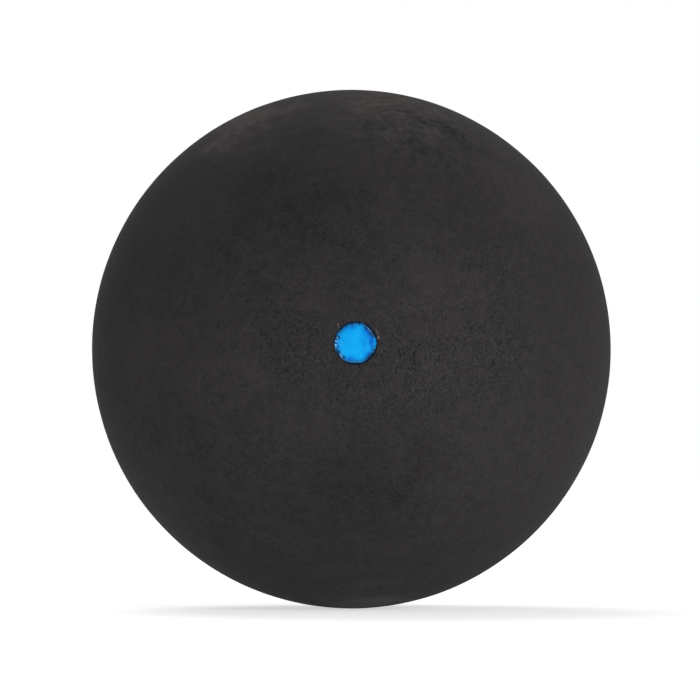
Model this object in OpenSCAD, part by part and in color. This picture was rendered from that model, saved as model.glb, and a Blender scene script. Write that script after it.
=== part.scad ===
// Squash ball: two moulded rubber half shells cemented rim to rim, with one coloured speed dot.
// The origin is the centre of the ball and +Z is up. The dot faces -Y, and the seam lies in the XZ plane.
// Every piece is a body of revolution about the Y axis, turned from an outline across the wall.

/* [Ball] */
// Outside diameter of the ball
ball_d = 40; // [30:0.5:60]
// Thickness of the rubber wall
wall_t = 5; // [3:0.1:8]

/* [Seam] */
// Thickness of the cured cement between the faces of the two rims
film_t = 0.15; // [0.05:0.01:0.5]
// Width of the bevel round the outer edge of each rim, measured across the wall
outer_bevel = 0.15; // [0.05:0.01:1]
// Width of the bevel round the inner edge of each rim, measured across the wall
inner_bevel = 0.5; // [0.1:0.05:1.2]
// Slope of both bevels from the face of the rim
bevel_angle = 45; // [15:1:60]
// How far the squeezed-out bead of cement laps over the inner wall beyond the bevel
bead_lap = 0.25; // [0.05:0.05:1]

/* [Speed dot] */
// Diameter of the dot, where its recess meets the surface of the ball
dot_d = 3.2; // [2:0.1:10]
// Depth of the moulded recess that holds the ink
recess_depth = 0.15; // [0.05:0.01:0.5]
// Slope of the wall of the recess from the axis of the dot
recess_draft = 30; // [5:1:45]
// Thickness of the cured ink on the floor of the recess
ink_t = 0.1; // [0.02:0.01:0.15]

/* [Hidden] */
$fn = 128;

rubber_colour = [0.196, 0.188, 0.192];
cement_colour = [0.255, 0.247, 0.243];
ink_colour = [0.075, 0.639, 0.933];

// How far the cutting outlines run past the faces that they cut
overrun = 0.5;

ball_r = ball_d / 2;
inner_r = ball_r - wall_t;

// The bevels widen the slot between the rims by this much for each unit that they run
bevel_rise = tan(bevel_angle);
slot_half = film_t / 2;
inner_mouth_half = slot_half + inner_bevel * bevel_rise;

// The bead stands half round on the inner wall and covers the mouth of the inner bevel.
// The cement in the slot reaches half of the lap into it, so that the two are one piece.
bead_r = inner_mouth_half + bead_lap;
bead_bite = bead_lap / 2;

dot_r = dot_d / 2;
floor_r = ball_r - recess_depth;
ink_face_r = floor_r + ink_t;

// Height above the seam at which the wall of the recess meets the surface of the ball
mouth_height = sqrt(ball_r ^ 2 - dot_r ^ 2);
draft_rise = tan(recess_draft);

// The wall of one half, from the seam to the pole
module half_wall() {
    intersection() {
        difference() {
            circle(r = ball_r);
            circle(r = inner_r);
        }
        square(ball_d);
    }
}

// The slot between the rims, with both of its bevels, as the cement fills it
module rim_slot() {
    inner_end = inner_r - bead_bite;
    outer_end = ball_r + overrun;
    inner_half = inner_mouth_half + bead_bite * bevel_rise;
    outer_half = slot_half + (outer_bevel + overrun) * bevel_rise;
    polygon([
        [inner_end, -inner_half],
        [inner_r + inner_bevel, -slot_half],
        [ball_r - outer_bevel, -slot_half],
        [outer_end, -outer_half],
        [outer_end, outer_half],
        [ball_r - outer_bevel, slot_half],
        [inner_r + inner_bevel, slot_half],
        [inner_end, inner_half],
    ]);
}

// Half of the bead that the closing mould squeezes out along the inside of the seam
module squeezed_bead() {
    intersection() {
        circle(r = inner_r);
        translate([inner_r, 0]) circle(r = bead_r);
    }
}

// The recess at the pole: its floor follows the ball, and its wall opens outwards
module dot_recess() {
    low = mouth_height - recess_depth - overrun;
    high = mouth_height + overrun;
    difference() {
        polygon([
            [0, low],
            [dot_r - (mouth_height - low) * draft_rise, low],
            [dot_r + (high - mouth_height) * draft_rise, high],
            [0, high],
        ]);
        circle(r = floor_r);
    }
}

// Turns an outline about the Y axis, with its upper side towards the dot
module turned_to_front() {
    rotate([90, 0, 0]) rotate_extrude() children();
}

// Turns an outline about the Y axis, with its upper side away from the dot
module turned_to_rear() {
    rotate([-90, 0, 0]) rotate_extrude() children();
}

module front_half_shell() {
    color(rubber_colour) turned_to_front() difference() {
        half_wall();
        rim_slot();
        dot_recess();
    }
}

module rear_half_shell() {
    color(rubber_colour) turned_to_rear() difference() {
        half_wall();
        rim_slot();
    }
}

module seam_cement() {
    color(cement_colour) turned_to_front() union() {
        intersection() {
            rim_slot();
            circle(r = ball_r);
        }
        squeezed_bead();
    }
}

module speed_dot() {
    color(ink_colour) turned_to_front() intersection() {
        dot_recess();
        circle(r = ink_face_r);
    }
}

front_half_shell();
rear_half_shell();
seam_cement();
speed_dot();
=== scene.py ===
import math

import bmesh
import bpy
from bpy.props import FloatProperty, FloatVectorProperty, IntProperty, PointerProperty
from bpy.types import Operator, Panel, PropertyGroup
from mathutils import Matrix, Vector, noise


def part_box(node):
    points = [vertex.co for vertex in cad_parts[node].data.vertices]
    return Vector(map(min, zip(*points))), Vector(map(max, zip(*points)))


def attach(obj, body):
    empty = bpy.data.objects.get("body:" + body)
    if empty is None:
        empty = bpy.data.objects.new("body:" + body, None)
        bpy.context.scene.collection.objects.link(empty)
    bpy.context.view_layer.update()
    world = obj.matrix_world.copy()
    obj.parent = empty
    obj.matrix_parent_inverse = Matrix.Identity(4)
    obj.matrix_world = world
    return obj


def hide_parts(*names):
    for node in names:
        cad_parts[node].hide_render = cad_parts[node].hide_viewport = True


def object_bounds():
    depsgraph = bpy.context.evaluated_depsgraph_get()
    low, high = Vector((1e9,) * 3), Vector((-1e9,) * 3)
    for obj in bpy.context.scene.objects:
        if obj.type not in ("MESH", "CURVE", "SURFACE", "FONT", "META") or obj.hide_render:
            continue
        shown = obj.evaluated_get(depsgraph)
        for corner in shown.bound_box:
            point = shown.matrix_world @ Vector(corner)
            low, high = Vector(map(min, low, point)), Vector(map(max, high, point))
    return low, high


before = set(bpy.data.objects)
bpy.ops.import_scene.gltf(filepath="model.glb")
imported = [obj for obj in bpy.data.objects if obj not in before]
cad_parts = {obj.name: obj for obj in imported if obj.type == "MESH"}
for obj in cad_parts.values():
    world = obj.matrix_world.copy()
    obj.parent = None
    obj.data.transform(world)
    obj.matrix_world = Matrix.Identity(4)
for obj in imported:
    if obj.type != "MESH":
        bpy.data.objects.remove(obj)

bl_info = {
    "name": "Squash ball",
    "version": (1, 0, 0),
    "blender": (4, 5, 0),
    "location": "View3D > Sidebar > Squash ball",
    "description": "Builds a hollow rubber squash ball with its seam, its speed dot and a plain studio",
    "category": "Add Mesh",
}

cad_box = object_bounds()

MM = 0.001
# Two points closer than this are one point
MERGE_GAP = 0.001 * MM
# Width of the picture that the camera is framed for
PICTURE_PX = 700


def reach(node):
    """The least and the greatest distance of a CAD node from the centre of the ball."""
    lengths = [vert.co.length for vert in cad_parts[node].data.vertices]
    return min(lengths), max(lengths)


def rim_land(node):
    """The inner and the outer radius of the flat face of a half shell's rim."""
    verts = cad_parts[node].data.vertices
    face = max(vert.co.y for vert in verts)
    radii = [math.hypot(vert.co.x, vert.co.z) for vert in verts if face - vert.co.y < MERGE_GAP]
    return min(radii), max(radii)


# Sizes of the ball, all measured on the CAD frame. The dot faces -Y and the seam lies at y = 0.
INNER_R, BALL_R = reach("rear_half_shell")
FLOOR_R, INK_FACE_R = reach("speed_dot")
LAND_INNER_R, LAND_OUTER_R = rim_land("front_half_shell")
SLOT_HALF = -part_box("front_half_shell")[1].y
RECESS_MOUTH_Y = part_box("front_half_shell")[0].y
DOT_R = math.sqrt(BALL_R ** 2 - RECESS_MOUTH_Y ** 2)
INK_EDGE_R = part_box("speed_dot")[1].x
BEAD_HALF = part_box("seam_cement")[1].y
# Half the width of the seam outside and inside the ball, where the bevels of the rims end
SEAM_HALF = SLOT_HALF + (BALL_R - LAND_OUTER_R)
INNER_SEAM_HALF = SLOT_HALF + (LAND_INNER_R - INNER_R)
# Radius of the recess at its floor. Its wall runs straight from its mouth past the edge of the ink.
FLOOR_EDGE_R = INK_EDGE_R - (INK_FACE_R - FLOOR_R) * (DOT_R - INK_EDGE_R) / (BALL_R - INK_FACE_R)


def srgb(red, green, blue):
    """The linear colour of a display colour given in 0 to 255."""
    return tuple(
        level / 12.92 if level <= 0.04045 else ((level + 0.055) / 1.055) ** 2.4
        for level in (red / 255, green / 255, blue / 255)
    )


class BallShape(PropertyGroup):
    """Sizes of the rubber, beyond those that the CAD frame gives."""

    cells: IntProperty(
        name="Cells", description="Mesh cells along each side of the cube that the skin is drawn from",
        default=152, min=8, max=160,
    )
    skin_drop: FloatProperty(
        name="Skin drop", description="How far the buffed skin lies inside the full radius on average",
        default=0.04 * MM, unit="LENGTH", precision=6,
    )
    lump_width: FloatProperty(
        name="Lump width", description="Width of the broad unevenness left by buffing",
        default=4.5 * MM, unit="LENGTH", precision=5,
    )
    lump_height: FloatProperty(
        name="Lump height", description="Height of the broad unevenness left by buffing",
        default=0.014 * MM, unit="LENGTH", precision=6,
    )
    pebble_width: FloatProperty(
        name="Pebble width", description="Width of the small swellings of the skin",
        default=0.9 * MM, unit="LENGTH", precision=5,
    )
    pebble_height: FloatProperty(
        name="Pebble height", description="Height of the small swellings of the skin",
        default=0.003 * MM, unit="LENGTH", precision=6,
    )
    rough_reach: FloatProperty(
        name="Rough reach", description="Radius of the rough patch of skin near the seam",
        default=6 * MM, unit="LENGTH", precision=4,
    )
    rough_height: FloatProperty(
        name="Rough height", description="Height of the swellings in the rough patch",
        default=0.012 * MM, unit="LENGTH", precision=6,
    )
    crease_width: FloatProperty(
        name="Crease width", description="Half the width of the crease in the rough patch",
        default=0.45 * MM, unit="LENGTH", precision=5,
    )
    crease_depth: FloatProperty(
        name="Crease depth", description="Depth of the crease in the rough patch",
        default=0.015 * MM, unit="LENGTH", precision=6,
    )
    seam_wander: FloatProperty(
        name="Seam wander", description="How far the edges of the cement stray from a true circle",
        default=0.08 * MM, unit="LENGTH", precision=6,
    )
    seam_sink: FloatProperty(
        name="Seam sink", description="How far the cement has shrunk below the rubber beside it",
        default=0.018 * MM, unit="LENGTH", precision=6,
    )


class DotShape(PropertyGroup):
    """Sizes of the recess and of the ink in it."""

    steps: IntProperty(
        name="Steps", description="Mesh steps round the dot", default=192, min=24, max=256,
    )
    cap_r: FloatProperty(
        name="Cap radius", description="Radius of the finely meshed cap round the dot",
        default=2.5 * MM, unit="LENGTH", precision=5,
    )
    ragged: FloatProperty(
        name="Ragged edge", description="How far the edge of the ink draws back from the wall",
        default=0.07 * MM, unit="LENGTH", precision=6,
    )
    lip_height: FloatProperty(
        name="Lip height", description="How far the dried ink stands up along its edge",
        default=0.02 * MM, unit="LENGTH", precision=6,
    )


class BallColours(PropertyGroup):
    """Colours of the rubber, the cement and the ink."""

    # The rubber's tone blends the dark colour into the pale one. The dark end also carries painted shade in
    # hollows, creases and the recess, and the pale end painted light on the rim
    rubber_dark: FloatVectorProperty(
        name="Dark rubber", description="Colour of the rubber in creases and where it is freshly worn",
        default=srgb(20, 19, 20), subtype="COLOR", size=3, min=0, max=1,
    )
    rubber_pale: FloatVectorProperty(
        name="Pale rubber", description="Colour of the rubber where wax and dust have come to the surface",
        default=srgb(70, 67, 68), subtype="COLOR", size=3, min=0, max=1,
    )
    # A painted highlight, warm and pale, on the top rim
    rim_highlight: FloatVectorProperty(
        name="Scuff", description="Colour of the faint brown marks of handling",
        default=srgb(92, 82, 76), subtype="COLOR", size=3, min=0, max=1,
    )
    mark: FloatVectorProperty(
        name="Mark", description="Colour of the stray marks beside the speed dot",
        default=srgb(205, 186, 176), subtype="COLOR", size=3, min=0, max=1,
    )
    cement: FloatVectorProperty(
        name="Cement", description="Colour of the cured cement in the seam",
        default=srgb(50, 48, 47), subtype="COLOR", size=3, min=0, max=1,
    )
    ink: FloatVectorProperty(
        name="Ink", description="Colour of the speed dot",
        default=srgb(9, 168, 241), subtype="COLOR", size=3, min=0, max=1,
    )
    # Also painted shade along the edge of the ink
    ink_deep: FloatVectorProperty(
        name="Deep ink", description="Colour of the speed dot where the ink lies thick",
        default=srgb(0, 104, 206), subtype="COLOR", size=3, min=0, max=1,
    )
    ink_thin: FloatVectorProperty(
        name="Thin ink", description="Colour of the rubber under the thin film of ink along the edge",
        default=srgb(22, 52, 82), subtype="COLOR", size=3, min=0, max=1,
    )
    # A painted highlight: the glints of the ink's raised lip along its edge
    ink_glint: FloatVectorProperty(
        name="Pale ink", description="Colour of the dried crumbs of ink along the edge",
        default=srgb(160, 220, 252), subtype="COLOR", size=3, min=0, max=1,
    )


class Studio(PropertyGroup):
    """The camera and the floor."""

    azimuth: FloatProperty(
        name="Azimuth", description="Direction of the camera round the ball",
        default=math.radians(-0.905), subtype="ANGLE", precision=3,
    )
    elevation: FloatProperty(
        name="Elevation", description="Height of the camera above the ball's centre, as an angle",
        default=math.radians(-1.30), subtype="ANGLE", precision=3,
    )
    distance: FloatProperty(
        name="Distance", description="Distance from the camera to the ball's centre",
        default=0.4, unit="LENGTH", precision=3,
    )
    outline_share: FloatProperty(
        name="Outline share", description="Radius of the ball's outline as a share of the picture's width",
        default=259.4 / PICTURE_PX,
    )
    off_centre: FloatVectorProperty(
        name="Off centre",
        description="How far right and up the ball sits, as shares of the picture's width",
        default=(1.34 / PICTURE_PX, 0.86 / PICTURE_PX), size=2, precision=5,
    )
    floor_size: FloatProperty(
        name="Floor size", description="Width of the floor", default=6.0, unit="LENGTH",
    )


# Lamps: name, azimuth and elevation in degrees, distance and width in metres, and power in watts
LAMPS = (
    ("key_lamp", 30, 12, 0.9, 0.36, 4.0),
    ("back_lamp", 200, 58, 0.9, 0.5, 3.0),
)
# Strength of the soft light from all round
WORLD_LEVEL = 0.28
# The pale floor's glow, which lights the ball from below though the floor is no lamp
FLOOR_GLOW = 0.47
# How bright the floor looks near the ball and far from it, and how near and far that is, in metres
FLOOR_WHITE = 0.6
FLOOR_FAR_WHITE = 0.8
FLOOR_NEAR = 0.1
FLOOR_FAR = 1.2

# Points that draw each stretch of the outlines turned round the Y axis
POINTS = {"cap": 12, "wall": 7, "floor": 8, "seam": 7, "bead": 9, "face": 10, "lip": 7, "under": 6}
# Cells of the skin that one cell of the inner wall spans
INNER_COARSER = 4
# Sides of the cube of cells that the seam runs round
CUBE_SIDES = 4
# Angle in radians that the bead's half turn leaves out at each end
BEAD_END = 0.1
# Waves of the seam's edges: how many fit in the radius, and how far they stray
SEAM_WAVES = ((3, 1.0), (16, 0.5), (45, 0.35))

# Every place on the front is given as x and z in mm from the ball's centre.
# The middle of the rough patch near the seam, that of the lesser one beside it, and the ends of the crease
ROUGH_PLACE = (4.2, 16.9)
UPPER_LEFT_RIM = (-8.0, 17.2)
CREASE = ((4.3, 17.7), (8.2, 15.9))
# How far the crease bends from a straight line, how wide its bends are, and the seed that they follow
CREASE_BEND = 0.25 * MM
CREASE_BEND_WIDTH = 1.2 * MM
CREASE_SEED = 1
# Where the skin looks rough: place, radius in mm, and how rough
ROUGH_PATCHES = ((*ROUGH_PLACE, 8, 1), (*UPPER_LEFT_RIM, 7, 0.4))
# Where warm pale painted highlights lie on the top rim: place and radius in mm
RIM_HIGHLIGHTS = ((*UPPER_LEFT_RIM, 5), (2.3, 18.9, 5.5))
# Where wear and bloom have changed the front: place, radius in mm, and the changes of tone and grain depth
# Their tone changes are partly real mottle and partly painted light: the pale ones on the rim, at the top
# and the bottom, are painted light.
WEAR_AND_LIGHT_PATCHES = (
    (-4.9, 10.5, 7.5, -0.11, 0),
    (-10, 10, 7, -0.02, -0.06),
    (-8, 17.2, 6.5, 0.42, -0.03),
    (0.5, 18.4, 5.5, 0.22, 0.03),
    (5.5, 16.6, 5.5, 0.10, 0.05),
    (6.2, 4.2, 4.8, 0.08, 0.02),
    (10.7, -7.5, 6, 0.045, 0.02),
    (0.5, -11.1, 9, -0.15, -0.03),
    (2.6, -10.6, 2.6, -0.07, 0),
    (-9.5, -14, 6, -0.065, 0),
    (0, -15.5, 7, 0, -0.06),
    (-11, -1.9, 6, 0.08, 0),
    (1, -19.4, 5, 0.46, 0.02),
    (-16.2, 1, 6, 0.16, -0.02),
    (-14.5, 8, 6.5, 0.08, -0.04),
    (13.2, 11.5, 6.5, 0.13, 0.03),
    (9.6, 17.4, 4, 0.36, 0),
    (-9.6, 16.9, 6, 0.20, 0),
    (6, 18.2, 5, 0.26, 0),
    (11, 16, 5, 0.18, 0),
    (-7.6, 5.2, 2.2, -0.07, 0.02),
    (1, 4.6, 4.5, -0.02, 0.02),
    (5.8, -0.5, 5.5, 0.05, -0.05),
    (-10, -8.6, 7.5, -0.065, 0),
    (0.3, 9.6, 4, -0.065, 0),
    (0, 17, 5.5, 0.085, 0),
    (-6.7, -2.9, 3, -0.05, 0),
)
# Short creases that lean one way: how far they lean from upright in degrees, how deep they are all over
# the ball, and the patches where they are deeper, as place, radius in mm and depth
STREAKS = (
    (20, 0.12, ((4.3, -1.5, 7, 1.1),)),
    (38, 0, ((9, -0.9, 6.6, 0.8), (11.5, -0.9, 5, 0.6), (9.4, 5.2, 5.6, 0.65))),
    (72, 0.12, ((-1, 6, 7, 0.3), (-6.5, 2, 5.5, 0.55), (-6, -8.5, 7, 0.2))),
    (-3, 0, ((-3.8, -0.7, 6, 0.9), (1.2, -4, 5.5, 0.5))),
    (-42, 0, ((6.5, -8.5, 7, 0.3),)),
)
# Stray marks on the rubber beside the dot: the places of their ends, half their width in mm, and how pale
STRAY_MARKS = (
    ((-1.30, 1.44), (-1.23, 1.12), 0.06, 0.5),
    ((1.67, 0.44), (1.69, 0.38), 0.10, 0.5),
    ((1.47, 1.02), (1.70, 0.55), 0.06, 0.2),
)

# The rubber's tone, from 0, dark, to 1, pale: its mean, and what each effect adds
RUBBER_TONE = 0.455
# The rough patch's mottle is partly real and partly painted shade in its hollows. The streaks are painted
# shade in their creases and painted light on their ridges. The long crease and the recess are painted shade.
ROUGH_TONE = 0.48
STREAK_SHADING = 0.2
CREASE_SHADE = -0.25
RECESS_SHADE = -0.36
# Depth of the two grains on plain skin, and the share of a worn patch's change that the coarse one takes
# The grains set both the tone and the relief: their tone is partly real and partly painted shade in their
# hollows
FINE_DEPTH = 0.125
COARSE_DEPTH = 0.1
COARSE_SHARE = 0.45
# How strongly the bloom shows on the front and behind
BLOOM_FRONT = 0.045
BLOOM_BEHIND = 0.11
# The cement's mean tone, from 0, as dark rubber, to 1, its own colour
CEMENT_TONE = 0.66

# The attribute for how far a point of the ink lies in from its ragged edge, in metres
INSET = "inset"
# The edge of the ink, in shares of the ragged edge: how far it draws back on average and at most, and how
# wide the lip along it is
EDGE_BACK = 0.6
EDGE_BACK_MOST = 3.2
LIP_WIDTH = 4
# Waves of the edge: how many fit in the radius, and how far they draw it back
EDGE_WAVES = ((3, 0.4), (13, 1.1), (26, 0.6))
# Nicks in the edge: how many waves fit in the radius, how high a wave starts a nick, and how deep it is
NICK_WAVES = 15
NICK_FROM = 0.3
NICK_DEPTH = 2
# Where the edge is drawn back in a straight line: the angle and half the span in degrees, and how far.
# Below zero, it comes out instead.
FLATS = ((137, 25, 0.6), (-46, 24, 1.1), (40, 27, 1.6), (-92, 26, 0.8), (92, 22, 0.4), (195, 55, -0.45))

# Ovals on the ink are given as their place, width and height.
# Where the ink lies thick, and how deep its colour is
THICK_INK = (
    (1.14, 0.05, 0.50, 1.4, 0.8),
    (0.95, 0.6, 2.2, 2.4, 0.42),
    (-0.38, -1.10, 0.95, 0.75, 0.65),
    (-0.2, 1.15, 0.9, 0.6, 0.6),
    (0.95, 1.0, 1.3, 1.3, 0.5),
    (1.0, -1.0, 1.1, 1.1, 0.4),
    (0.62, -0.2, 0.5, 1.5, 0.3),
)
# How thin the film is along its edge, and where it stays thicker there, and by how much
EDGE_THIN = 0.9
FULL_EDGES = ((1.6, 0.1, 1.4, 2.2, 0.75), (-1.6, -0.2, 1.4, 2.6, 0.35))
# Single pits in the ink, and how far each is worn to the rubber
LONE_PITS = (
    (-0.27, 1.46, 0.42, 0.55, 0.8),
    (0.27, 1.48, 0.40, 0.45, 0.8),
    (1.13, -1.13, 0.90, 0.90, 0.5),
    (-0.88, -1.02, 0.34, 0.36, 1.0),
    (-1.16, -0.80, 0.30, 0.34, 0.9),
    (1.28, 0.52, 0.26, 0.34, 0.9),
)
# Stretches of the ink's edge
LEFT_EDGE = (-1.7, -0.3, 2.4, 3.9)
HIGH_EDGE = (1.1, 1.0, 1.7, 1.7)
LOW_EDGE = (-0.2, -1.5, 2.4, 1.2)
# The spot at the lower right: the oval of its pits and that of its painted glints
SPOT_PITS = (1.35, -0.45, 0.5, 0.5)
SPOT_GLINTS = (1.42, -0.6, 0.5, 0.5)
# The most that pits and painted glints may cover the ink
MOST_PITTED = 0.92
MOST_GLINT = 0.7


def add_node(tree, kind, inputs=None, **settings):
    """Adds a shader node with its settings. An input is a value, or the socket that feeds it."""
    node = tree.nodes.new("ShaderNode" + kind)
    for name, value in settings.items():
        setattr(node, name, value)
    for name, value in (inputs or {}).items():
        if isinstance(value, bpy.types.NodeSocket):
            tree.links.new(value, node.inputs[name])
        else:
            node.inputs[name].default_value = value
    return node


def add_math(tree, operation, *values):
    """Adds a math node and returns its result."""
    return add_node(tree, "Math", dict(enumerate(values)), operation=operation).outputs[0]


def add_vector_math(tree, operation, *values, result="Vector"):
    """Adds a vector math node and returns the result that is asked for."""
    return add_node(tree, "VectorMath", dict(enumerate(values)), operation=operation).outputs[result]


def add_range(tree, value, from_min, from_max, to_min=0.0, to_max=1.0):
    """Maps a value smoothly from one range to another, and returns the result."""
    limits = {"Value": value, "From Min": from_min, "From Max": from_max, "To Min": to_min, "To Max": to_max}
    return add_node(tree, "MapRange", limits, interpolation_type="SMOOTHSTEP").outputs["Result"]


def add_clamp(tree, value, most=1.0):
    """Keeps a value between zero and a limit."""
    return add_node(tree, "Clamp", {"Value": value, "Max": most}).outputs["Result"]


def add_blend(tree, factor, first, second):
    """Mixes two colours, and returns the result."""
    return add_node(tree, "Mix", {0: factor, 6: first, 7: second}, data_type="RGBA").outputs[2]


def weighted_sum(tree, terms):
    """Adds up values, each times its own weight."""
    total = 0.0
    for value, weight in terms:
        total = add_math(tree, "MULTIPLY_ADD", value, weight, total)
    return total


def product(tree, *values):
    """Multiplies values together."""
    total = values[0]
    for value in values[1:]:
        total = add_math(tree, "MULTIPLY", total, value)
    return total


def rgba(colour):
    """A colour with full opacity, as a socket wants it."""
    return (*colour, 1.0)


def new_group(name, inputs, outputs):
    """A shader node group with float inputs, given as name and default, and outputs."""
    tree = bpy.data.node_groups.new(name, "ShaderNodeTree")
    for socket, default in inputs.items():
        made = tree.interface.new_socket(socket, in_out="INPUT", socket_type="NodeSocketFloat")
        made.default_value = default
    for socket in outputs:
        tree.interface.new_socket(socket, in_out="OUTPUT", socket_type="NodeSocketFloat")
    return tree, tree.nodes.new("NodeGroupInput"), tree.nodes.new("NodeGroupOutput")


def add_group(tree, group, **values):
    """Places a node group with its own values, and returns its outputs."""
    node = tree.nodes.new("ShaderNodeGroup")
    node.node_tree = group
    for name, value in values.items():
        node.inputs[name.replace("_", " ").capitalize()].default_value = value
    return node.outputs


def object_place(tree):
    """The place of a point in the ball's own frame, in metres."""
    return add_node(tree, "TexCoord").outputs["Object"]


def add_noise(tree, place, scale, detail, roughness):
    """A noise pattern spread from -1 to 1."""
    pattern = {"Vector": place, "Scale": scale, "Detail": detail, "Roughness": roughness}
    value = add_node(tree, "TexNoise", pattern).outputs["Fac"]
    limits = {"Value": value, "From Min": 0.25, "From Max": 0.75, "To Min": -1.0, "To Max": 1.0}
    return add_node(tree, "MapRange", limits).outputs["Result"]


def grain_group():
    """Fine buffed grain and a broad cloud, both from -1 to 1. Widths are in metres."""
    name = "Buffed grain"
    if name in bpy.data.node_groups:
        return bpy.data.node_groups[name]
    inputs = {"Grain width": 0.2 * MM, "Cloud width": 5 * MM}
    tree, given, result = new_group(name, inputs, ("Grain", "Cloud"))
    place = object_place(tree)
    fine = add_math(tree, "DIVIDE", 1.0, given.outputs["Grain width"])
    broad = add_math(tree, "DIVIDE", 1.0, given.outputs["Cloud width"])
    grain = add_noise(tree, place, fine, detail=3.0, roughness=0.6)
    cloud = add_noise(tree, place, broad, detail=6.0, roughness=0.6)
    tree.links.new(grain, result.inputs["Grain"])
    tree.links.new(cloud, result.inputs["Cloud"])
    return tree


def streak_group():
    """Short fine creases that all lean one way, from below -1 in a crease to 1 on a ridge."""
    name = "Fine streaks"
    if name in bpy.data.node_groups:
        return bpy.data.node_groups[name]
    inputs = {"Lean": 0.0, "Width": 0.095 * MM, "Length": 0.23 * MM}
    tree, given, result = new_group(name, inputs, ("Streak",))
    turn = {"Vector": object_place(tree), "Angle": given.outputs["Lean"]}
    turned = add_node(tree, "VectorRotate", turn, rotation_type="Y_AXIS").outputs["Vector"]
    across = add_math(tree, "DIVIDE", 1.0, given.outputs["Width"])
    along = add_math(tree, "DIVIDE", 1.0, given.outputs["Length"])
    scale = add_node(tree, "CombineXYZ", {"X": across, "Y": along, "Z": along}).outputs["Vector"]
    stretched = add_vector_math(tree, "MULTIPLY", turned, scale)
    wave = add_noise(tree, stretched, 1.0, detail=0.5, roughness=0.5)
    # Creases go deeper than ridges stand up
    crease = add_range(tree, wave, 0.0, -0.8)
    tree.links.new(add_math(tree, "MULTIPLY_ADD", crease, -0.4, wave), result.inputs["Streak"])
    return tree


def front_place(x, z):
    """The place on the front of the ball at x and z, given in mm."""
    x, z = x * MM, z * MM
    return Vector((x, -math.sqrt(BALL_R ** 2 - x ** 2 - z ** 2), z))


def patch_mask(tree, place, x, z, radius):
    """One at x and z on the front, falling smoothly to zero at a radius. All three are in mm."""
    away = add_vector_math(tree, "DISTANCE", place, front_place(x, z), result="Value")
    return add_range(tree, away, radius * MM, 0.0)


def line_mask(tree, place, start, end, half_width):
    """One along the line between two places on the front, falling smoothly to zero beside it, in mm."""
    start, end = front_place(*start), front_place(*end)
    run = end - start
    from_start = add_vector_math(tree, "SUBTRACT", place, start)
    share = add_vector_math(tree, "DOT_PRODUCT", from_start, run / run.length_squared, result="Value")
    share = add_clamp(tree, share)
    nearest = add_node(tree, "VectorMath", {0: run, "Scale": share}, operation="SCALE").outputs["Vector"]
    away = add_vector_math(tree, "DISTANCE", from_start, nearest, result="Value")
    return add_range(tree, away, half_width * MM, 0.0)


def oval_mask(tree, place, x, z, width, height):
    """One at x and z, falling smoothly to zero half a width and half a height away. All are in mm."""
    centred = add_vector_math(tree, "SUBTRACT", place, Vector((x, 0, z)) * MM)
    scaled = add_vector_math(tree, "MULTIPLY", centred, (2 / (width * MM), 0, 2 / (height * MM)))
    return add_range(tree, add_vector_math(tree, "LENGTH", scaled, result="Value"), 1.0, 0.0)


def inset_band(tree, inset, outer, inner, soft=0.03):
    """One between two distances in from the edge of the ink, given in mm as its soft borders are."""
    entry = add_range(tree, inset, (outer - soft) * MM, (outer + soft) * MM)
    return product(tree, entry, add_range(tree, inset, (inner + soft) * MM, (inner - soft) * MM))


def waver(tree, place, width, amount):
    """Moves a place to and fro by a noise, so that what is drawn with it wavers."""
    colour = add_node(tree, "TexNoise", {"Vector": place, "Scale": 1 / width}).outputs["Color"]
    shift = add_vector_math(tree, "SUBTRACT", colour, (0.5, 0.5, 0.5))
    return add_vector_math(tree, "MULTIPLY_ADD", shift, (amount, amount, amount), place)


def new_material(name, specular):
    """An empty material with its shader and its output joined."""
    material = bpy.data.materials.new(name)
    material.use_nodes = True
    tree = material.node_tree
    tree.nodes.clear()
    shader = add_node(tree, "BsdfPrincipled")
    shader.inputs["Specular IOR Level"].default_value = specular
    output = add_node(tree, "OutputMaterial")
    tree.links.new(shader.outputs["BSDF"], output.inputs["Surface"])
    return material, tree, shader


def add_bump(tree, shader, height, distance):
    """Gives a shader the relief of a height, which is 1 where it stands up by the distance."""
    bump = add_node(tree, "Bump", {"Height": height, "Distance": distance, "Strength": 1.0})
    tree.links.new(bump.outputs["Normal"], shader.inputs["Normal"])


def fine_creases(tree, place, cloud):
    """Short creases in the rubber, a little all over and deeper in some patches."""
    creases = []
    for lean, depth, patches in STREAKS:
        streak = add_group(tree, streak_group(), lean=math.radians(lean))["Streak"]
        # The smoothed cloud is a half on average, so it counts twice
        terms = [(add_range(tree, cloud, -0.8, 0.8), depth * 2)]
        terms += [(patch_mask(tree, place, x, z, radius), deeper) for x, z, radius, deeper in patches]
        creases.append((product(tree, streak, weighted_sum(tree, terms)), 1.0))
    return weighted_sum(tree, creases)


def rough_skin(tree, place, coarse):
    """The mottle of the rough patches, which are near the seam at the top."""
    patches = [(patch_mask(tree, place, x, z, radius), rough) for x, z, radius, rough in ROUGH_PATCHES]
    mottle = weighted_sum(tree, [(coarse["Grain"], 0.5), (coarse["Cloud"], 0.8)])
    return product(tree, mottle, weighted_sum(tree, patches))


def crease_shade(tree, place, grain):
    """Painted shade along the one long crease, broken by the grain."""
    bent = waver(tree, place, width=0.8 * MM, amount=1.2 * MM)
    return product(tree, line_mask(tree, bent, *CREASE, 1.1), add_range(tree, grain, 0.3, -0.5))


def recess_mask(tree, place, along):
    """One in the recess of the dot, falling quickly to zero at its mouth."""
    in_front = add_math(tree, "LESS_THAN", along, 0.0)
    flat = add_vector_math(tree, "MULTIPLY", place, (1, 0, 1))
    from_axis = add_vector_math(tree, "LENGTH", flat, result="Value")
    return product(tree, add_range(tree, from_axis, DOT_R * 1.03, DOT_R * 0.98), in_front)


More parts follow.
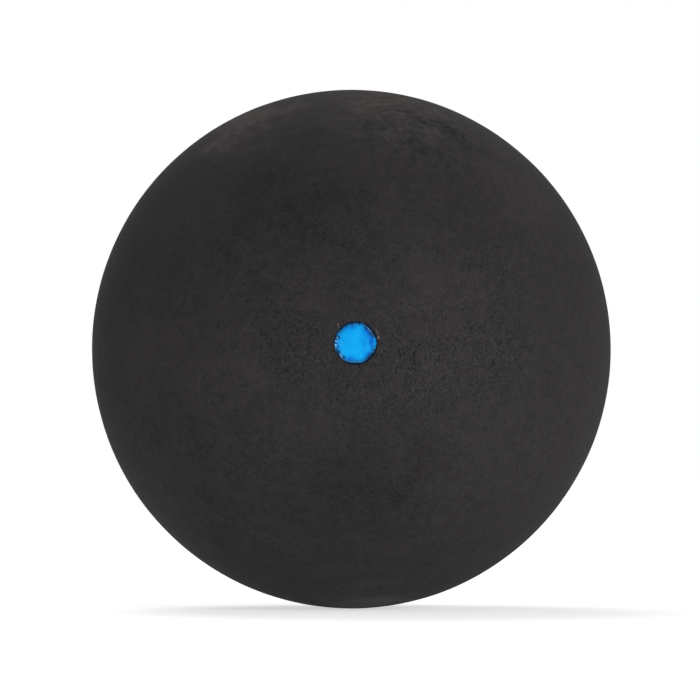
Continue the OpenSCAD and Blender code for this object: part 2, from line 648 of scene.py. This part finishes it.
def rubber_material(colours):
    """Black rubber, buffed matt: fine grain, clouds of bloom, worn patches and short creases."""
    name = "matt_rubber"
    if name in bpy.data.materials:
        return bpy.data.materials[name]
    material, tree, shader = new_material(name, specular=0.047)
    place = object_place(tree)
    along = add_node(tree, "SeparateXYZ", {"Vector": place}).outputs["Y"]
    fine = add_group(tree, grain_group(), grain_width=0.18 * MM, cloud_width=7 * MM)
    coarse = add_group(tree, grain_group(), grain_width=0.6 * MM, cloud_width=2.2 * MM)

    # Worn patches, their painted light and the painted highlights on the top rim have uneven outlines
    uneven = waver(tree, place, width=3 * MM, amount=9 * MM)
    worn_and_lit = [
        (patch_mask(tree, uneven, x, z, radius), tone, depth) for x, z, radius, tone, depth in WEAR_AND_LIGHT_PATCHES
    ]
    wear = weighted_sum(tree, [(mask, depth) for mask, tone, depth in worn_and_lit if depth])
    fine_grain = product(tree, fine["Grain"], add_math(tree, "ADD", wear, FINE_DEPTH))
    coarse_depth = add_math(tree, "MULTIPLY_ADD", wear, COARSE_SHARE, COARSE_DEPTH)
    coarse_grain = product(tree, coarse["Grain"], coarse_depth)
    rough = rough_skin(tree, place, coarse)
    creases = fine_creases(tree, place, fine["Cloud"])

    # Bloom lies in broad clouds, which are plainest behind
    bloom = add_range(tree, along, -2 * MM, 8 * MM, BLOOM_FRONT, BLOOM_BEHIND)
    # The tone of the worn patches is partly real mottle and partly painted light on the rim
    terms = [(mask, tone) for mask, tone, depth in worn_and_lit if tone]
    # Grains, rough patch and streaks: real tone with painted shade in their hollows, and painted light on
    # the streaks' ridges
    terms += [(fine_grain, 1.0), (coarse_grain, 1.0), (rough, ROUGH_TONE), (creases, STREAK_SHADING)]
    terms.append((crease_shade(tree, place, coarse["Grain"]), CREASE_SHADE))
    terms += [(product(tree, grain["Cloud"], bloom), 1.0) for grain in (fine, coarse)]
    tone = add_math(tree, "ADD", weighted_sum(tree, terms), RUBBER_TONE)

    # Painted shade darkens the rubber in the recess of the dot, and ink has stained it
    recess = recess_mask(tree, place, along)
    tone = add_math(tree, "MULTIPLY_ADD", recess, RECESS_SHADE, tone)
    base = add_blend(tree, tone, rgba(colours.rubber_dark), rgba(colours.rubber_pale))
    stained = product(tree, recess, add_range(tree, coarse["Grain"], -0.6, 0.6, 0.3, 0.8))
    base = add_blend(tree, stained, base, rgba(colours.ink_thin))

    # Painted highlight: warm pale patches on the top rim, broken by the grain
    rim_highlight_mask = add_math(tree, "MAXIMUM", *(patch_mask(tree, uneven, *rim_highlight) for rim_highlight in RIM_HIGHLIGHTS))
    rim_highlight_mask = product(tree, rim_highlight_mask, add_range(tree, coarse["Grain"], -0.7, 0.8, 0.05, 0.55))
    base = add_blend(tree, rim_highlight_mask, base, rgba(colours.rim_highlight))
    marks = weighted_sum(tree, [(line_mask(tree, place, *mark), pale) for *mark, pale in STRAY_MARKS])
    base = add_blend(tree, marks, base, rgba(colours.mark))
    tree.links.new(base, shader.inputs["Base Color"])
    tree.links.new(add_range(tree, tone, 0.2, 0.7, 0.82, 0.94), shader.inputs["Roughness"])
    height = weighted_sum(tree, [(fine_grain, 3.0), (coarse_grain, 4.0), (rough, 1.3), (creases, 0.8)])
    add_bump(tree, shader, height, distance=0.015 * MM)
    return material


def cement_material(colours):
    """Cured rubber cement, buffed with the rubber: a shade smoother, and patchy in tone."""
    material, tree, shader = new_material("cured_cement", specular=0.04)
    skin = add_group(tree, grain_group(), grain_width=0.18 * MM, cloud_width=0.8 * MM)
    # Whole stretches of the seam are darker or paler than others
    stretch = add_group(tree, grain_group(), grain_width=0.6 * MM, cloud_width=6 * MM)["Cloud"]
    tone = weighted_sum(tree, [(skin["Cloud"], 0.2), (skin["Grain"], 0.2), (stretch, 0.45)])
    tone = add_math(tree, "ADD", tone, CEMENT_TONE)
    base = add_blend(tree, tone, rgba(colours.rubber_dark), rgba(colours.cement))
    tree.links.new(base, shader.inputs["Base Color"])
    tree.links.new(add_range(tree, skin["Grain"], -1.0, 1.0, 0.76, 0.86), shader.inputs["Roughness"])
    add_bump(tree, shader, skin["Grain"], distance=0.006 * MM)
    return material


def ink_pits(tree, place, inset, edge_speckle):
    """Pits down to the rubber: crowded on the left, dashes at the upper right, and single ones."""
    hollow = add_range(tree, edge_speckle, -0.05, -0.4)
    left = product(tree, hollow, oval_mask(tree, place, *LEFT_EDGE), inset_band(tree, inset, 0.03, 0.27))
    high = product(tree, hollow, oval_mask(tree, place, *HIGH_EDGE), inset_band(tree, inset, 0.06, 0.2))
    spot = product(tree, hollow, oval_mask(tree, place, *SPOT_PITS))
    lone = [(oval_mask(tree, place, *oval), depth) for *oval, depth in LONE_PITS]
    return add_clamp(tree, weighted_sum(tree, [(left, 2.2), (high, 1.8), (spot, 1.2), *lone]), MOST_PITTED)


def ink_glints(tree, place, inset, edge_speckle):
    """Painted glints of the ink's raised lip: pale specks between the pits, and a thin pale line below and
    at the upper right.
    """
    glint_specks = add_range(tree, edge_speckle, 0.1, 0.5)
    broken = add_range(tree, edge_speckle, -0.4, 0.3, 0.3, 1.0)
    left = product(tree, glint_specks, oval_mask(tree, place, *LEFT_EDGE))
    high = product(tree, broken, oval_mask(tree, place, *HIGH_EDGE))
    low = product(tree, broken, oval_mask(tree, place, *LOW_EDGE))
    return add_clamp(tree, weighted_sum(tree, [
        (product(tree, left, inset_band(tree, inset, 0.0, 0.18)), 1.1),
        (product(tree, left, inset_band(tree, inset, 0.2, 0.8, soft=0.1)), 0.15),
        (product(tree, high, inset_band(tree, inset, 0.0, 0.05, soft=0.02)), 0.5),
        (product(tree, low, inset_band(tree, inset, 0.06, 0.11, soft=0.02)), 0.28),
        (product(tree, glint_specks, oval_mask(tree, place, *SPOT_GLINTS)), 0.9),
    ]), MOST_GLINT)


def ink_material(colours):
    """Blue marking ink: deeper where it lies thick, with painted pale glints and pits along its edge."""
    material, tree, shader = new_material("dot_ink", specular=0.06)
    place = object_place(tree)
    skin = add_group(tree, grain_group(), grain_width=0.16 * MM, cloud_width=0.7 * MM)
    edge_speckle = add_group(tree, grain_group(), grain_width=0.2 * MM, cloud_width=1 * MM)["Grain"]
    inset = add_node(tree, "Attribute", attribute_name=INSET).outputs["Fac"]

    # Thick ink: a tall streak on the right and a blot at the lower left, and painted shade along the edge
    thick = [(oval_mask(tree, place, *oval), depth) for *oval, depth in THICK_INK]
    deep = weighted_sum(tree, thick + [(skin["Cloud"], 0.24), (skin["Grain"], 0.12)])
    deep = add_math(tree, "ADD", deep, add_range(tree, inset, 0.6 * MM, 0.1 * MM, 0.06, 0.38))
    base = add_blend(tree, deep, rgba(colours.ink), rgba(colours.ink_deep))

    # The film thins out towards its edge, least on the right and the left
    full = weighted_sum(tree, [(oval_mask(tree, place, *oval), -depth) for *oval, depth in FULL_EDGES])
    thin = add_math(tree, "ADD", full, EDGE_THIN)
    thin = product(tree, thin, add_range(tree, inset, 0.36 * MM, -0.06 * MM))
    base = add_blend(tree, thin, base, rgba(colours.ink_thin))

    pitted = ink_pits(tree, place, inset, edge_speckle)
    base = add_blend(tree, pitted, base, rgba(colours.rubber_dark))
    pale = ink_glints(tree, place, inset, edge_speckle)
    base = add_blend(tree, pale, base, rgba(colours.ink_glint))
    tree.links.new(base, shader.inputs["Base Color"])
    tree.links.new(add_range(tree, skin["Grain"], -1.0, 1.0, 0.5, 0.7), shader.inputs["Roughness"])
    # The painted glints also get a glossy coat
    tree.links.new(add_math(tree, "MULTIPLY", pale, 0.5), shader.inputs["Coat Weight"])
    shader.inputs["Coat Roughness"].default_value = 0.3
    height = weighted_sum(tree, [(skin["Grain"], 0.3), (pitted, -1.5), (pale, 1.0)])
    add_bump(tree, shader, height, distance=0.012 * MM)
    return material


def relief(place, shape):
    """How far the buffed skin lies inside the full radius at a place on the ball."""
    out = place.normalized() * BALL_R
    drop = shape.skin_drop
    # Two layers of lumps, the second half as wide as the first
    drop -= noise.fractal(out / shape.lump_width, 1.0, 2.0, 2) * shape.lump_height
    pebble_height = shape.pebble_height
    roughness = 1 - (out - front_place(*ROUGH_PLACE)).length / shape.rough_reach
    if roughness > 0:
        pebble_height += shape.rough_height * min(roughness * 2, 1)
        start, end = (front_place(*point) for point in CREASE)
        share = min(max((out - start).dot(end - start) / (end - start).length_squared, 0), 1)
        bend = CREASE_BEND * noise.noise_vector(out / CREASE_BEND_WIDTH)
        away = (out + bend - start.lerp(end, share)).length / shape.crease_width
        drop += shape.crease_depth * math.exp(-away ** 2)
    drop -= noise.noise(out / shape.pebble_width) * pebble_height
    return max(drop, 0.0)


def wear_skin(bm, shape):
    """Sinks every vertex near the outer surface by the relief there."""
    skin_depth = BALL_R - FLOOR_R + shape.skin_drop
    # Without a seed the crease would bend another way in each run
    noise.seed_set(CREASE_SEED)
    for vert in bm.verts:
        if vert.co.length > BALL_R - skin_depth * 2:
            vert.co -= vert.co.normalized() * relief(vert.co, shape)


def waves(direction, table):
    """The sum of several noises in a direction, each given as its number of waves and its share."""
    return sum(share * noise.noise(direction * count) for count, share in table)


def seam_stray(angle, side, shape):
    """How far an edge of the cement strays along Y at an angle round the ball."""
    return shape.seam_wander * waves(Vector((math.cos(angle), math.sin(angle), side)), SEAM_WAVES)


def cell_width(radius, cells):
    """Width of a cell of the ball's grid at a radius."""
    return radius * math.pi / 2 / cells


def ball_grid(bm, cells, radius):
    """A ball of near-square faces: the six grids of a cube, spaced by equal angles and pushed out."""
    bmesh.ops.create_cube(bm, size=2)
    bmesh.ops.subdivide_edges(bm, edges=bm.edges[:], cuts=cells - 1, use_grid_fill=True)
    for vert in bm.verts:
        on_cube = Vector([math.tan(c * math.pi / 4) for c in vert.co])
        vert.co = on_cube.normalized() * radius


def keep_side(bm, side, height):
    """Cuts away all that lies nearer the seam than a height, on one side of it."""
    geom = bm.verts[:] + bm.edges[:] + bm.faces[:]
    bmesh.ops.bisect_plane(
        bm, geom=geom, dist=MERGE_GAP, plane_co=(0, side * height, 0), plane_no=(0, side, 0),
        clear_inner=True,
    )


def open_ring(bm, test):
    """The open edges of a mesh whose middle passes a test."""
    return [e for e in bm.edges if e.is_boundary and test((e.verts[0].co + e.verts[1].co) / 2)]


def draw_ring(bm, ring, radius, height):
    """Extrudes an open ring of edges to a radius and a height, each vertex keeping its angle."""
    grown = bmesh.ops.extrude_edge_only(bm, edges=ring)["geom"]
    new_ring = [e for e in grown if isinstance(e, bmesh.types.BMEdge) and e.is_boundary]
    for vert in {vert for edge in new_ring for vert in edge.verts}:
        angle = math.atan2(vert.co.z, vert.co.x)
        vert.co = (radius * math.cos(angle), height, radius * math.sin(angle))
    return new_ring


def spun(bm, outline, steps, closed=False):
    """Turns an outline of points, given as radius and height, round the Y axis."""
    verts = [bm.verts.new((radius, height, 0)) for radius, height in outline]
    pairs = list(zip(verts, verts[1:])) + ([(verts[-1], verts[0])] if closed else [])
    edges = [bm.edges.new(pair) for pair in pairs]
    bmesh.ops.spin(
        bm, geom=verts + edges, cent=(0, 0, 0), axis=(0, 1, 0), angle=math.tau, steps=steps, use_merge=True,
    )


def on_sphere(radius, from_axis):
    """Radius and height of a point in the front half at a distance from the Y axis."""
    return from_axis, -math.sqrt(radius ** 2 - from_axis ** 2)


def spread(first, last, count):
    """Evenly spaced values from first to last."""
    return [first + (last - first) * i / (count - 1) for i in range(count)]


def link_new(name, data):
    """A new object in the scene."""
    made = bpy.data.objects.new(name, data)
    bpy.context.collection.objects.link(made)
    return made


def finish_piece(bm, name, node, material):
    """Closes a piece, turns its faces outwards and makes it the visible form of its CAD node."""
    bmesh.ops.remove_doubles(bm, verts=bm.verts[:], dist=MERGE_GAP)
    bmesh.ops.recalc_face_normals(bm, faces=bm.faces[:])
    if any(not edge.is_manifold for edge in bm.edges):
        raise RuntimeError(f"{name} isn't closed")
    for face in bm.faces:
        face.smooth = True
    mesh = bpy.data.meshes.new(name)
    bm.to_mesh(mesh)
    bm.free()
    piece = link_new(name, mesh)
    mesh.materials.append(material)
    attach(piece, "root")
    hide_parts(node)


def recess_outline(dot):
    """The skin round the dot and the recess in it, from the cap's edge to the middle of the floor."""
    skin = [on_sphere(BALL_R, r) for r in spread(dot.cap_r, DOT_R, POINTS["cap"])]
    wall = [
        on_sphere(BALL_R + (FLOOR_R - BALL_R) * share, DOT_R + (FLOOR_EDGE_R - DOT_R) * share)
        for share in spread(0, 1, POINTS["wall"])[1:]
    ]
    floor = [on_sphere(FLOOR_R, r) for r in spread(FLOOR_EDGE_R, 0, POINTS["floor"])[1:]]
    return skin + wall + floor


def add_recess(bm, dot, cells):
    """Cuts a round hole at the front pole and fills it with the finely meshed cap and its recess."""
    pole = Vector((0, -BALL_R, 0))
    clear = dot.cap_r + cell_width(BALL_R, cells)
    inside = [face for face in bm.faces if (face.calc_center_median() - pole).length < clear]
    bmesh.ops.delete(bm, geom=inside, context="FACES")
    spun(bm, recess_outline(dot), dot.steps)
    bmesh.ops.remove_doubles(bm, verts=bm.verts[:], dist=MERGE_GAP)
    gap = open_ring(bm, lambda middle: (middle - pole).length < clear * 2)
    bmesh.ops.bridge_loops(bm, edges=gap)


def add_inner_wall(bm, side, cells):
    """Adds the inner wall of a half shell, and joins it to the ring that is still open."""
    wall = bmesh.new()
    ball_grid(wall, cells, INNER_R)
    keep_side(wall, side, INNER_SEAM_HALF + cell_width(INNER_R, cells) / 2)
    mesh = bpy.data.meshes.new("inner_wall")
    wall.to_mesh(mesh)
    wall.free()
    bm.from_mesh(mesh)
    bpy.data.meshes.remove(mesh)
    bmesh.ops.bridge_loops(bm, edges=open_ring(bm, lambda middle: True))


def build_half_shell(side, shape, dot=None):
    """One half shell: the worn skin, the bevelled rim and the inner wall. side is -1 in front, 1 behind."""
    bm = bmesh.new()
    ball_grid(bm, shape.cells, BALL_R)
    keep_side(bm, side, SEAM_HALF)
    if dot:
        add_recess(bm, dot, shape.cells)
    ring = open_ring(bm, lambda middle: abs(middle.y) < SEAM_HALF * 2)
    for vert in {vert for edge in ring for vert in edge.verts}:
        vert.co.y += seam_stray(math.atan2(vert.co.z, vert.co.x), side, shape)
    ring = draw_ring(bm, ring, LAND_OUTER_R, side * SLOT_HALF)
    ring = draw_ring(bm, ring, LAND_INNER_R, side * SLOT_HALF)
    draw_ring(bm, ring, math.sqrt(INNER_R ** 2 - INNER_SEAM_HALF ** 2), side * INNER_SEAM_HALF)
    wear_skin(bm, shape)
    add_inner_wall(bm, side, shape.cells // INNER_COARSER)
    return bm


class BALL_OT_front_half_shell(Operator):
    """Build the front half shell, with the recess of the speed dot"""

    bl_idname = "ball.front_half_shell"
    bl_label = "Front half shell"

    def execute(self, context):
        scene = context.scene
        bm = build_half_shell(-1, scene.ball_shape, scene.dot_shape)
        material = rubber_material(scene.ball_colours)
        finish_piece(bm, "front_shell_skin", "front_half_shell", material)
        return {"FINISHED"}


class BALL_OT_rear_half_shell(Operator):
    """Build the rear half shell"""

    bl_idname = "ball.rear_half_shell"
    bl_label = "Rear half shell"

    def execute(self, context):
        scene = context.scene
        bm = build_half_shell(1, scene.ball_shape)
        material = rubber_material(scene.ball_colours)
        finish_piece(bm, "rear_shell_skin", "rear_half_shell", material)
        return {"FINISHED"}


def cement_outline():
    """The cement's section: its outer face, one land, the bead inside and the other land."""
    outer = [(math.sqrt(BALL_R ** 2 - y ** 2), y) for y in spread(-SEAM_HALF, SEAM_HALF, POINTS["seam"])]
    bead = [
        (INNER_R - BEAD_HALF * math.sin(angle), BEAD_HALF * math.cos(angle))
        for angle in spread(BEAD_END, math.pi - BEAD_END, POINTS["bead"])
    ]
    rim = [(LAND_OUTER_R, SLOT_HALF), (LAND_INNER_R, SLOT_HALF), (INNER_R, INNER_SEAM_HALF)]
    return outer + rim + bead + [(radius, -height) for radius, height in reversed(rim)]


class BALL_OT_seam_cement(Operator):
    """Build the cement between the rims, with the bead inside the ball"""

    bl_idname = "ball.seam_cement"
    bl_label = "Seam cement"

    def execute(self, context):
        shape = context.scene.ball_shape
        bm = bmesh.new()
        spun(bm, cement_outline(), shape.cells * CUBE_SIDES, closed=True)
        for vert in bm.verts:
            if math.hypot(vert.co.x, vert.co.z) > LAND_OUTER_R + MERGE_GAP:
                share = vert.co.y / SEAM_HALF
                angle = math.atan2(vert.co.z, vert.co.x)
                vert.co.y += abs(share) * seam_stray(angle, math.copysign(1, share), shape)
                vert.co -= vert.co.normalized() * shape.seam_sink * (1 - share ** 2)
        wear_skin(bm, shape)
        material = cement_material(context.scene.ball_colours)
        finish_piece(bm, "seam_line", "seam_cement", material)
        return {"FINISHED"}


def ink_outline(dot, lip_r):
    """The ink's face, the lip along its edge, its side and its underside."""
    face = [on_sphere(INK_FACE_R, r) for r in spread(0, lip_r, POINTS["face"])]
    lip = []
    for share in spread(0, 1, POINTS["lip"])[1:]:
        rise = dot.lip_height * math.sin(share * math.pi)
        lip.append(on_sphere(INK_FACE_R + rise, lip_r + (INK_EDGE_R - lip_r) * share))
    return face + lip + [on_sphere(FLOOR_R, r) for r in spread(FLOOR_EDGE_R, 0, POINTS["under"])]


def edge_back(turn, ragged):
    """How far the edge of the ink draws back from the wall, in one direction from its middle."""
    nick = max(noise.noise(turn * NICK_WAVES) - NICK_FROM, 0.0) * NICK_DEPTH
    back = EDGE_BACK + waves(turn, EDGE_WAVES) + nick
    for angle, half_span, depth in FLATS:
        middle = Vector((math.cos(math.radians(angle)), 0, math.sin(math.radians(angle))))
        end = math.cos(math.radians(half_span))
        back += depth * max(turn.dot(middle) - end, 0.0) / (1 - end)
    return ragged * min(max(back, 0.0), EDGE_BACK_MOST)


class BALL_OT_speed_dot(Operator):
    """Build the ink of the speed dot"""

    bl_idname = "ball.speed_dot"
    bl_label = "Speed dot"

    def execute(self, context):
        scene = context.scene
        dot = scene.dot_shape
        lip_r = INK_EDGE_R - LIP_WIDTH * dot.ragged
        bm = bmesh.new()
        spun(bm, ink_outline(dot, lip_r), dot.steps)
        inset = bm.verts.layers.float.new(INSET)
        for vert in bm.verts:
            from_axis = math.hypot(vert.co.x, vert.co.z)
            if from_axis < MERGE_GAP:
                vert[inset] = INK_EDGE_R
                continue
            # The lip moves with the edge, and the face inside it stays
            share = min(max((from_axis - lip_r) / (INK_EDGE_R - lip_r), 0.0), 1.0)
            turn = Vector((vert.co.x, 0, vert.co.z)) / from_axis
            back = edge_back(turn, dot.ragged)
            vert.co -= turn * back * share
            vert[inset] = INK_EDGE_R - from_axis - back * (1 - share)
        wear_skin(bm, scene.ball_shape)
        finish_piece(bm, "dot_print", "speed_dot", ink_material(scene.ball_colours))
        return {"FINISHED"}


def around(azimuth, elevation, distance):
    """A place round the ball. Azimuth 0 is in front, on -Y."""
    level = math.cos(elevation)
    return distance * Vector((math.sin(azimuth) * level, -math.cos(azimuth) * level, math.sin(elevation)))


def face_ball(thing):
    """Turns a camera or a lamp towards the ball's centre."""
    thing.rotation_euler = thing.location.to_track_quat("Z", "Y").to_euler()


def add_camera(studio, skin_r):
    """The camera in front of the ball, with the ball's outline where the picture has it."""
    data = bpy.data.cameras.new("camera")
    camera = link_new("camera", data)
    camera.location = around(studio.azimuth, studio.elevation, studio.distance)
    face_ball(camera)
    outline = math.tan(math.asin(skin_r / studio.distance))
    data.lens = data.sensor_width * studio.outline_share / outline
    data.shift_x, data.shift_y = -studio.off_centre[0], -studio.off_centre[1]
    bpy.context.scene.camera = camera


def add_lamps():
    """Soft square lamps, all aimed at the ball."""
    for name, azimuth, elevation, distance, width, power in LAMPS:
        data = bpy.data.lights.new(name, "AREA")
        data.energy = power
        data.size = width
        lamp = link_new(name, data)
        lamp.location = around(math.radians(azimuth), math.radians(elevation), distance)
        face_ball(lamp)


def seen_directly(tree):
    """One for what is seen, also in a reflection or through glass, and zero for other light."""
    path = add_node(tree, "LightPath").outputs
    seen = add_math(tree, "MAXIMUM", path["Is Camera Ray"], path["Is Glossy Ray"])
    return add_math(tree, "MAXIMUM", seen, path["Is Transmission Ray"])


def add_world():
    """White where it is seen, and a dimmer soft light on the ball."""
    world = bpy.data.worlds.new("studio")
    bpy.context.scene.world = world
    world.use_nodes = True
    tree = world.node_tree
    tree.nodes.clear()
    level = add_range(tree, seen_directly(tree), 0.0, 1.0, WORLD_LEVEL, 1.0)
    light = add_node(tree, "Background", {"Color": rgba((1, 1, 1)), "Strength": level})
    output = add_node(tree, "OutputWorld")
    tree.links.new(light.outputs[0], output.inputs["Surface"])


def add_floor(studio):
    """A plain pale floor at the ball's lowest point, white where it is seen. It keeps the shadow, and glows
    onto the ball from below.
    """
    bm = bmesh.new()
    bmesh.ops.create_grid(bm, x_segments=1, y_segments=1, size=studio.floor_size / 2)
    bmesh.ops.translate(bm, verts=bm.verts[:], vec=(0, 0, cad_box[0].z))
    mesh = bpy.data.meshes.new("floor")
    bm.to_mesh(mesh)
    bm.free()
    floor = link_new("floor", mesh)
    material, tree, shader = new_material("pale_floor", specular=0.0)
    shader.inputs["Base Color"].default_value = rgba((0.8, 0.8, 0.8))
    shader.inputs["Roughness"].default_value = 1.0
    away = add_vector_math(tree, "LENGTH", object_place(tree), result="Value")
    white = add_range(tree, away, FLOOR_NEAR, FLOOR_FAR, FLOOR_WHITE, FLOOR_FAR_WHITE)
    level = add_range(tree, seen_directly(tree), 0.0, 1.0, FLOOR_GLOW, white)
    tree.links.new(level, shader.inputs["Emission Strength"])
    mesh.materials.append(material)


class BALL_OT_studio(Operator):
    """Set up the camera, the lamps, the floor and the white surroundings"""

    bl_idname = "ball.studio"
    bl_label = "Studio"

    def execute(self, context):
        scene = context.scene
        add_camera(scene.ball_studio, BALL_R - scene.ball_shape.skin_drop)
        add_lamps()
        add_world()
        add_floor(scene.ball_studio)
        scene.view_settings.view_transform = "Standard"
        return {"FINISHED"}


class BALL_PT_panel(Panel):
    """Lists the sizes and colours of the ball, its pieces and the stage"""

    bl_label = "Squash ball"
    bl_idname = "BALL_PT_panel"
    bl_space_type = "VIEW_3D"
    bl_region_type = "UI"
    bl_category = "Squash ball"

    def draw(self, context):
        for group in PROPERTIES:
            settings = getattr(context.scene, group)
            for name in settings.bl_rna.properties.keys():
                if name not in ("rna_type", "name"):
                    self.layout.prop(settings, name)
        for operator in OPERATORS:
            self.layout.operator(operator.bl_idname)


PROPERTIES = {
    "ball_shape": BallShape,
    "dot_shape": DotShape,
    "ball_colours": BallColours,
    "ball_studio": Studio,
}
OPERATORS = (
    BALL_OT_front_half_shell,
    BALL_OT_rear_half_shell,
    BALL_OT_seam_cement,
    BALL_OT_speed_dot,
    BALL_OT_studio,
)
CLASSES = (*PROPERTIES.values(), *OPERATORS, BALL_PT_panel)


def register():
    """Registers every class, and gives the scene its settings."""
    for cls in CLASSES:
        bpy.utils.register_class(cls)
    for name, cls in PROPERTIES.items():
        setattr(bpy.types.Scene, name, PointerProperty(type=cls))


def unregister():
    """Takes away all that register adds."""
    for name in PROPERTIES:
        delattr(bpy.types.Scene, name)
    for cls in reversed(CLASSES):
        bpy.utils.unregister_class(cls)


def main():
    """Builds the ball and its studio."""
    register()
    bpy.ops.ball.front_half_shell()
    bpy.ops.ball.rear_half_shell()
    bpy.ops.ball.seam_cement()
    bpy.ops.ball.speed_dot()
    bpy.ops.ball.studio()


if __name__ == "__main__":
    main()
